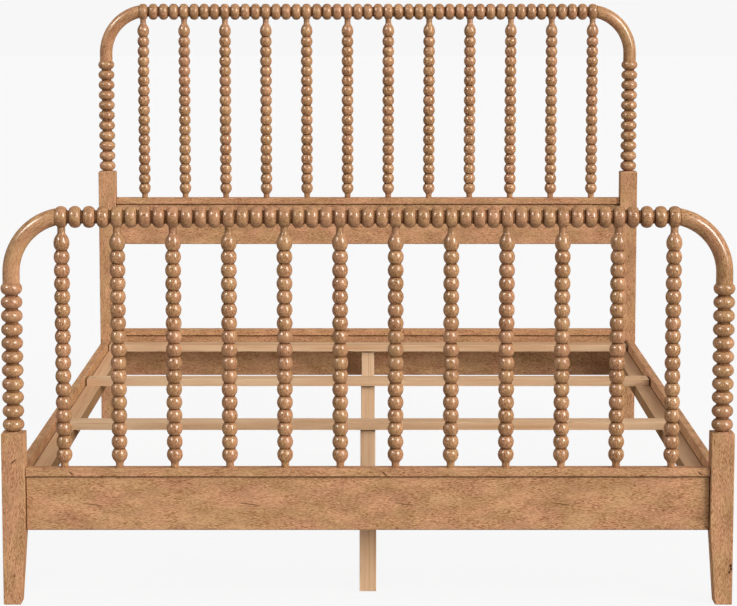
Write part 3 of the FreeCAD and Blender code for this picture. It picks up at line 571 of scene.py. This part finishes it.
def post_square(low, high, inner):
    """The square lower part as a bar standing on its foot, its inner face drawn in evenly below the panel.
    inner is 1 where the bed's middle lies towards +X and -1 where it lies towards -X."""
    half = (high[:2] - low[:2]) / 2
    square_top = high[2] - TURNED_HEIGHT
    panel_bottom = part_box("foot_panel")[0].z / MM
    ends, end_set_in = rounded_ends(0, square_top, POST_EASE)
    along = np.unique(np.append(ends, panel_bottom))
    set_in = np.interp(along, ends, end_set_in)
    reach = np.interp(along, [0, panel_bottom], [half[0] - FOOT_TAPER, half[0]]) - set_in
    outside = half[0] - set_in
    left, right = (-outside, reach) if inner > 0 else (-reach, outside)
    ease = np.maximum(POST_EASE - set_in, LEAST_EASE)
    return eased_bar(along, left, right, set_in - half[1], half[1] - set_in, ease)


def post_turning(high, crown_radius):
    """The turned upper part and its painted shade at the edges of the beads: a base ring, beads with short
    necks between them, and a crown bead cut flat to seat the bend."""
    base = high[2] - TURNED_HEIGHT + BASE_RING_HEIGHT
    rise = POST_BEAD_RADIUS - POST_NECK_RADIUS
    arc = arc_radius(POST_BEAD_HEIGHT / 2, rise)
    edge = math.asin(POST_BEAD_HEIGHT / 2 / arc)
    crown_edge = math.acos(1 - (POST_BEAD_RADIUS - crown_radius) / arc)
    crown_height = arc * math.sin(crown_edge)
    pitch = (high[2] - base - crown_height) / (POST_BEADS - 0.5)
    middles = base + pitch * (np.arange(POST_BEADS) + 0.5)
    ends = [edge] * (POST_BEADS - 1) + [crown_edge]
    beads = [swell(middle, POST_BEAD_RADIUS, arc, -edge, end) for middle, end in zip(middles, ends)]
    necks = [[[middle - pitch / 2, POST_NECK_RADIUS]] for middle in middles]
    turned = [rows for neck_and_bead in zip(necks, beads) for rows in neck_and_bead]
    foot = base - BASE_RING_HEIGHT - POST_EASE
    outline = np.concatenate([straight(foot, base, BASE_RING_RADIUS), *turned])
    edges = np.concatenate([middles - POST_BEAD_HEIGHT / 2, middles[:-1] + POST_BEAD_HEIGHT / 2])
    return outline, edge_painted_shade(outline, edges, POST_NECK_RADIUS, POST_PAINTED_SHADE)


def add_post(end, side):
    """A post: the square and the turning as two closed shells, the turning's foot sunk into the square."""
    node = f"{end}_post_{side}"
    low, high = node_box(node)
    centre = np.array([*(low + high)[:2] / 2, 0])
    bend_low, bend_high = node_box(f"{end}_bend_{side}")
    crown_radius = (bend_high - bend_low)[1] / 2
    square = post_square(low, high, -np.sign(centre[0]))
    outline, painted_shade = post_turning(high, crown_radius)
    turning = Shell(lathe(outline, POST_SIDES), turned_wood, painted_shade)
    add_straight(node, [Shell(square, board_wood), turning], ALONG_Z, centre)


# Bent corners, top rails and spindles

def add_bend(end, side):
    """A bent corner: a round section carried up a short straight lead and round an arc to an upright cut.
    A point at angle a round the section is rho = bend radius + tube radius cos a from the arc's middle. Its
    turn about that middle grows ring by ring to where rho cos(turn) reaches the cut, so its end depends
    on a."""
    node = f"{end}_bend_{side}"
    low, high = node_box(node)
    tube = (high - low)[1] / 2
    reach = (high - low)[0] - tube
    sweep = 2 * math.atan(reach / (BEND_HEIGHT - BEND_LEAD))
    radius = reach / (1 - math.cos(sweep))
    lead, lead_set_in = rounded_ends(-BEND_LEAD, 0, JOINT_EASE)
    lead, lead_set_in = lead[:CORNER_STEPS + 1], lead_set_in[:CORNER_STEPS + 1]
    share = np.concatenate([0 * lead, np.linspace(0, 1, BEND_STEPS), [1]])[:, None]
    rise = np.concatenate([lead, np.zeros(BEND_STEPS + 1)])[:, None]
    section = np.concatenate([tube - lead_set_in, np.full(BEND_STEPS, tube), [tube - JOINT_EASE]])[:, None]
    eased_back = np.zeros_like(share)
    eased_back[-2] = JOINT_EASE / radius
    angle = np.linspace(0, 2 * math.pi, BEND_SIDES, endpoint=False)
    rho = radius + section * np.cos(angle)
    turn = share * np.arccos((radius - reach) / rho) - eased_back
    across = section * np.sin(angle)
    rings = np.stack([rho * np.cos(turn) - radius, across, rise + rho * np.sin(turn)], axis=-1)
    wood = np.stack([section * np.cos(angle), across, rise + radius * turn], axis=-1)
    hand = 1 if side == "right" else -1
    post_x = hand * (max(abs(low[0]), abs(high[0])) - tube)
    placed = rings * [hand, hand, 1] + [post_x, (low + high)[1] / 2, low[2] + BEND_LEAD]
    add_piece(node, [Shell(rings, bent_wood)], [placed], cut_from_timber([wood]))


def rail_bead(middle, width, widest, squareness):
    """Half outline of a barrel bead, a superellipse: |place / half width|^s + |rise / full rise|^s = 1,
    where rise is the height above the neck and s its squareness."""
    angle = np.linspace(math.pi, 0, 2 * BEAD_STEPS)
    share = np.abs(np.stack([np.cos(angle), np.sin(angle)], axis=-1)) ** (2 / squareness)
    place = middle + np.sign(np.cos(angle)) * share[:, 0] * width / 2
    return np.stack([place, RAIL_NECK_RADIUS + share[:, 1] * (widest - RAIL_NECK_RADIUS)], axis=-1)


def add_top_rail(end):
    """A top rail as one turning: beads at an even pitch with short necks between them, every fourth one
    drilled for a spindle."""
    node = f"{end}_top_rail"
    low, high = node_box(node)
    plain_radius = (high - low)[2] / 2
    length = (high - low)[0]
    count = (SPINDLES - 1) * BEADS_PER_SPINDLE + 1
    middles = np.linspace(-1, 1, count) * (length - DRILLED_BEAD_WIDTH) / 2
    half_pitch = (middles[1] - middles[0]) / 2
    rows, edges = [], []
    for number, middle in enumerate(middles):
        if number:
            rows.append([[middle - half_pitch, RAIL_NECK_RADIUS]])
        if number % BEADS_PER_SPINDLE:
            rows.append(rail_bead(middle, PLAIN_BEAD_WIDTH, plain_radius, PLAIN_BEAD_SQUARENESS))
        else:
            rows.append(rail_bead(middle, DRILLED_BEAD_WIDTH, DRILLED_BEAD_RADIUS, DRILLED_BEAD_SQUARENESS))
        edges += [rows[-1][0, 0], rows[-1][-1, 0]]
    outline = np.concatenate(rows)
    # Painted shade along the edges of the rail's beads
    painted_shade = edge_painted_shade(outline, np.array(edges), RAIL_NECK_RADIUS, RAIL_PAINTED_SHADE)
    add_straight(node, [Shell(lathe(outline, RAIL_SIDES), turned_wood, painted_shade)], ALONG_X, (low + high) / 2)


def shoulder(neck_end, widest_place, widest):
    """Outline from a neck to a bead's widest place: a hollow arc out of the neck, then a swelling arc
    tangent to it. Both turn through the angle whose sine is the length over the sum of the radii."""
    along = abs(widest_place - neck_end)
    both = arc_radius(along, widest - SPINDLE_NECK_RADIUS)
    turn = math.asin(along / both)
    upward = 1 if widest_place > neck_end else -1
    hollow = swell(neck_end, SPINDLE_NECK_RADIUS, -NECK_HOLLOW_RADIUS, 0, -upward * turn)
    bulge = swell(widest_place, widest, both - NECK_HOLLOW_RADIUS, -upward * turn, 0)
    return np.concatenate([hollow, bulge[1:]])


def spindle_outline(low, high, widest):
    """A spindle from tenon to tenon and its painted shade at the edges of the beads: neck, onion bead,
    round beads, vase bead, neck.
    """
    base = low + BOTTOM_TENON
    top = high - TOP_TENON
    rise = widest - GROOVE_RADIUS
    onion_middle = base + BOTTOM_NECK + ONION_SHOULDER
    onion_arc = arc_radius(ONION_HEIGHT - ONION_SHOULDER, rise)
    onion_edge = math.asin((ONION_HEIGHT - ONION_SHOULDER) / onion_arc)
    first = base + BOTTOM_NECK + ONION_HEIGHT
    last = top - TOP_NECK - VASE_HEIGHT
    pitch = (last - first) / SPINDLE_BEADS
    bead_arc = arc_radius(pitch / 2, rise)
    bead_edge = math.asin(pitch / 2 / bead_arc)
    middles = first + pitch * (np.arange(SPINDLE_BEADS) + 0.5)
    beads = [swell(middle, widest, bead_arc, -bead_edge, bead_edge) for middle in middles]
    vase_middle = top - TOP_NECK - VASE_SHOULDER
    vase_arc = arc_radius(VASE_HEIGHT - VASE_SHOULDER, rise)
    vase_edge = math.asin((VASE_HEIGHT - VASE_SHOULDER) / vase_arc)
    outline = np.concatenate([
        [[low, SPINDLE_NECK_RADIUS]],
        shoulder(base + BOTTOM_NECK, onion_middle, widest),
        swell(onion_middle, widest, onion_arc, 0, onion_edge)[1:],
        *beads,
        swell(vase_middle, widest, vase_arc, -vase_edge, 0),
        shoulder(top - TOP_NECK, vase_middle, widest)[::-1][1:],
        [[high, SPINDLE_NECK_RADIUS]],
    ])
    edges = np.append(first + pitch * np.arange(SPINDLE_BEADS + 1), base)
    return outline, edge_painted_shade(outline, edges, outline[:, 1:].clip(max=GROOVE_RADIUS), SPINDLE_PAINTED_SHADE)


def add_spindle(end, number):
    """A spindle as one turning about its upright axis."""
    node = f"{end}_spindle_{number:02d}"
    low, high = node_box(node)
    widest = (high - low)[0] / 2
    outline, painted_shade = spindle_outline(low[2], high[2], widest)
    centre = np.array([*(low + high)[:2] / 2, 0])
    add_straight(node, [Shell(lathe(outline, SPINDLE_SIDES), turned_wood, painted_shade)], ALONG_Z, centre)


# Boards

def add_cap(node):
    """A cap strip: an eased block across the bed."""
    low, high = node_box(node)
    half = (high - low) / 2
    board = eased_block(half[1], half[2], half[0], CAP_EASE)
    # Painted shade at the cap's joints with the posts
    painted_shade = joint_painted_shade(board, CAP_EASE, under_cap=False)
    add_straight(node, [Shell(board, board_wood, painted_shade)], ALONG_X, (low + high) / 2)


def add_panel(node):
    """A board whose tenons stand out at its ends as one thinner block through it."""
    low, high = node_box(node)
    half = (high - low) / 2
    board = eased_block(half[1], half[2], half[0] - TENON_LENGTH, PANEL_EASE)
    tenons = eased_block(TENON_THICKNESS / 2, half[2] - TENON_SHOULDER, half[0], TENON_EASE)
    # Painted shade at the panel's joints with the posts and under the cap, standing in for their shade
    painted_shade = joint_painted_shade(board, PANEL_EASE, under_cap=True)
    shells = [Shell(board, board_wood, painted_shade), Shell(tenons, board_wood)]
    add_straight(node, shells, ALONG_X, (low + high) / 2)


def add_side_rail(side):
    """A side rail: an eased block along the bed."""
    node = f"side_rail_{side}"
    low, high = node_box(node)
    half = (high - low) / 2
    board = eased_block(half[2], half[0], half[1], SIDE_RAIL_EASE)
    add_straight(node, [Shell(board, board_wood)], ALONG_Y, (low + high) / 2)


def add_leg(number):
    """A centre leg: an eased upright block of bare pine."""
    node = f"centre_leg_{number}"
    low, high = node_box(node)
    half = (high - low) / 2
    leg = eased_block(half[0], half[1], half[2], LEG_EASE)
    add_straight(node, [Shell(leg, leg_pine)], ALONG_Z, (low + high) / 2)


for end in ("foot", "head"):
    for side in ("left", "right"):
        add_post(end, side)
        add_bend(end, side)
    add_top_rail(end)
    for number in range(1, SPINDLES + 1):
        add_spindle(end, number)
for cross_rail in ("foot", "head_lower", "head_mid"):
    add_cap(f"{cross_rail}_cap")
    add_panel(f"{cross_rail}_panel")
for side in ("left", "right"):
    add_side_rail(side)
for number in range(1, CENTRE_LEGS + 1):
    add_leg(number)


def finish_node(node, material):
    """Give a CAD node that stays its material."""
    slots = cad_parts[node].data.materials
    slots.clear()
    slots.append(material)


for number in range(1, SLATS + 1):
    finish_node(f"slat_{number}", slat_pine)
finish_node("ledger_left", light_ledger)
# The right ledger gets the painted shade copy of the pine
finish_node("ledger_right", painted_shade_ledger)
for hardware in ("post_slot_plates", "rail_hook_plates", "leg_bolts"):
    finish_node(hardware, zinc)
for screws in ("ledger_screws", "slat_screws"):
    finish_node(screws, bronze)
finish_node("bend_dowels", dowel_beech())


# Floor, light and camera

BACKDROP = "f7f7f7"
WHITE = "ffffff"
WARM_WHITE = "fffaf4"
GLINT = "fff8ee"
FLOOR_PAINT = "a8a8a8"
FLOOR_SIZE = 60.0
# The share of the floor's look that is lit paint, which keeps the shadow
FLOOR_SHADOW_SHARE = 0.1
# The world's light on the object, as a share of the backdrop's
AMBIENT = 0.12


def backdrop_rays(tree):
    """1 for the rays that see the backdrop, straight or in reflections and glass, and 0 for the rest."""
    rays = add_node(tree, "LightPath").outputs
    seen = rays["Is Camera Ray"]
    for kind in ("Is Glossy Ray", "Is Transmission Ray"):
        seen = add_node(tree, "Math", {0: seen, 1: rays[kind]}, operation="MAXIMUM").outputs[0]
    return seen


def pale_floor():
    """A plain pale floor. To the camera, and in reflections, most of it is white like the backdrop and the
    rest is lit paint that keeps the shadow; to other rays it is all paint. It is clear from below."""
    material, tree = new_material("pale_painted_floor")
    seen = backdrop_rays(tree)
    share = add_node(tree, "Math", {0: seen, 1: 1 - FLOOR_SHADOW_SHARE}, operation="MULTIPLY")
    paint = add_node(tree, "BsdfDiffuse", {"Color": linear(FLOOR_PAINT)})
    glow = add_node(tree, "Emission", {"Color": linear(WHITE), "Strength": 1.0})
    mixed = add_node(tree, "MixShader", {
        0: share.outputs[0], 1: paint.outputs["BSDF"], 2: glow.outputs["Emission"]})
    from_below = add_node(tree, "NewGeometry").outputs["Backfacing"]
    clear = add_node(tree, "BsdfTransparent")
    one_sided = add_node(tree, "MixShader", {
        0: from_below, 1: mixed.outputs["Shader"], 2: clear.outputs["BSDF"]})
    add_node(tree, "OutputMaterial", {"Surface": one_sided.outputs["Shader"]})
    return material


floor_mesh = bpy.data.meshes.new("floor")
reach = FLOOR_SIZE / 2
corners = [(-reach, -reach, 0), (reach, -reach, 0), (reach, reach, 0), (-reach, reach, 0)]
floor_mesh.from_pydata(corners, [], [(0, 1, 2, 3)])
floor_mesh.materials.append(pale_floor())
floor = bpy.data.objects.new("floor", floor_mesh)
bpy.context.scene.collection.objects.link(floor)

world = bpy.data.worlds.new("studio")
world.use_nodes = True
sky = world.node_tree
sky.nodes.clear()
strength = add_node(sky, "MapRange", {"Value": backdrop_rays(sky), "To Min": AMBIENT, "To Max": 1.0})
backdrop = add_node(sky, "Background", {"Color": linear(BACKDROP), "Strength": strength.outputs["Result"]})
add_node(sky, "OutputWorld", {"Surface": backdrop.outputs["Background"]})
bpy.context.scene.world = world


def add_softbox(name, azimuth, elevation, width, level, colour, fills=True, shines=True):
    """A far softbox as a broad sun. Azimuth is in degrees to the right of the camera's side, elevation
    above the floor, width the angle that it fills, and level the share of a facing surface's colour it
    gives. Without fills it gives highlights alone, and without shines no highlights."""
    lamp = bpy.data.lights.new(name, "SUN")
    lamp.energy = level * math.pi
    lamp.angle = math.radians(width)
    lamp.color = linear(colour)[:3]
    holder = bpy.data.objects.new(name, lamp)
    holder.rotation_euler = (math.radians(90 - elevation), 0, math.radians(azimuth))
    holder.visible_diffuse = fills
    holder.visible_glossy = shines
    bpy.context.scene.collection.objects.link(holder)


add_softbox("right", azimuth=50, elevation=21, width=44, level=1.26, colour=WARM_WHITE)
add_softbox("left", azimuth=-85, elevation=18, width=40, level=0.52, colour=WHITE)
add_softbox("top", azimuth=30, elevation=58, width=50, level=0.3, colour=WHITE)
add_softbox("back", azimuth=180, elevation=16, width=24, level=0.6, colour=WHITE, shines=False)
# A tall softbox on the right, as two lamps one above the other, and a smaller one on the left give the
# shine
add_softbox("glint_right", azimuth=45, elevation=30, width=20, level=6.5, colour=GLINT, fills=False)
add_softbox("glint_right_low", azimuth=45, elevation=13, width=18, level=4.2, colour=GLINT, fills=False)
add_softbox("glint_left", azimuth=-52, elevation=34, width=18, level=6.0, colour=GLINT, fills=False)

# The picture's size and the lens in its pixels, and the camera's place in metres and tilt in degrees
IMAGE_WIDTH = 737
IMAGE_HEIGHT = 606
FOCAL_LENGTH_PX = 2614.7
OPTICAL_CENTRE_PX = (367.87, 282.46)
CAMERA_PLACE = (0.0, -6.6674, 1.4118)
CAMERA_DOWN = 7.164

lens = bpy.data.cameras.new("camera")
lens.sensor_fit = "HORIZONTAL"
lens.lens = FOCAL_LENGTH_PX * lens.sensor_width / IMAGE_WIDTH
lens.shift_x = (IMAGE_WIDTH / 2 - OPTICAL_CENTRE_PX[0]) / IMAGE_WIDTH
lens.shift_y = (OPTICAL_CENTRE_PX[1] - IMAGE_HEIGHT / 2) / IMAGE_WIDTH
camera = bpy.data.objects.new("camera", lens)
camera.location = CAMERA_PLACE
camera.rotation_euler = (math.radians(90 - CAMERA_DOWN), 0, 0)
bpy.context.scene.collection.objects.link(camera)
bpy.context.scene.camera = camera
bpy.context.scene.view_settings.view_transform = "Standard"
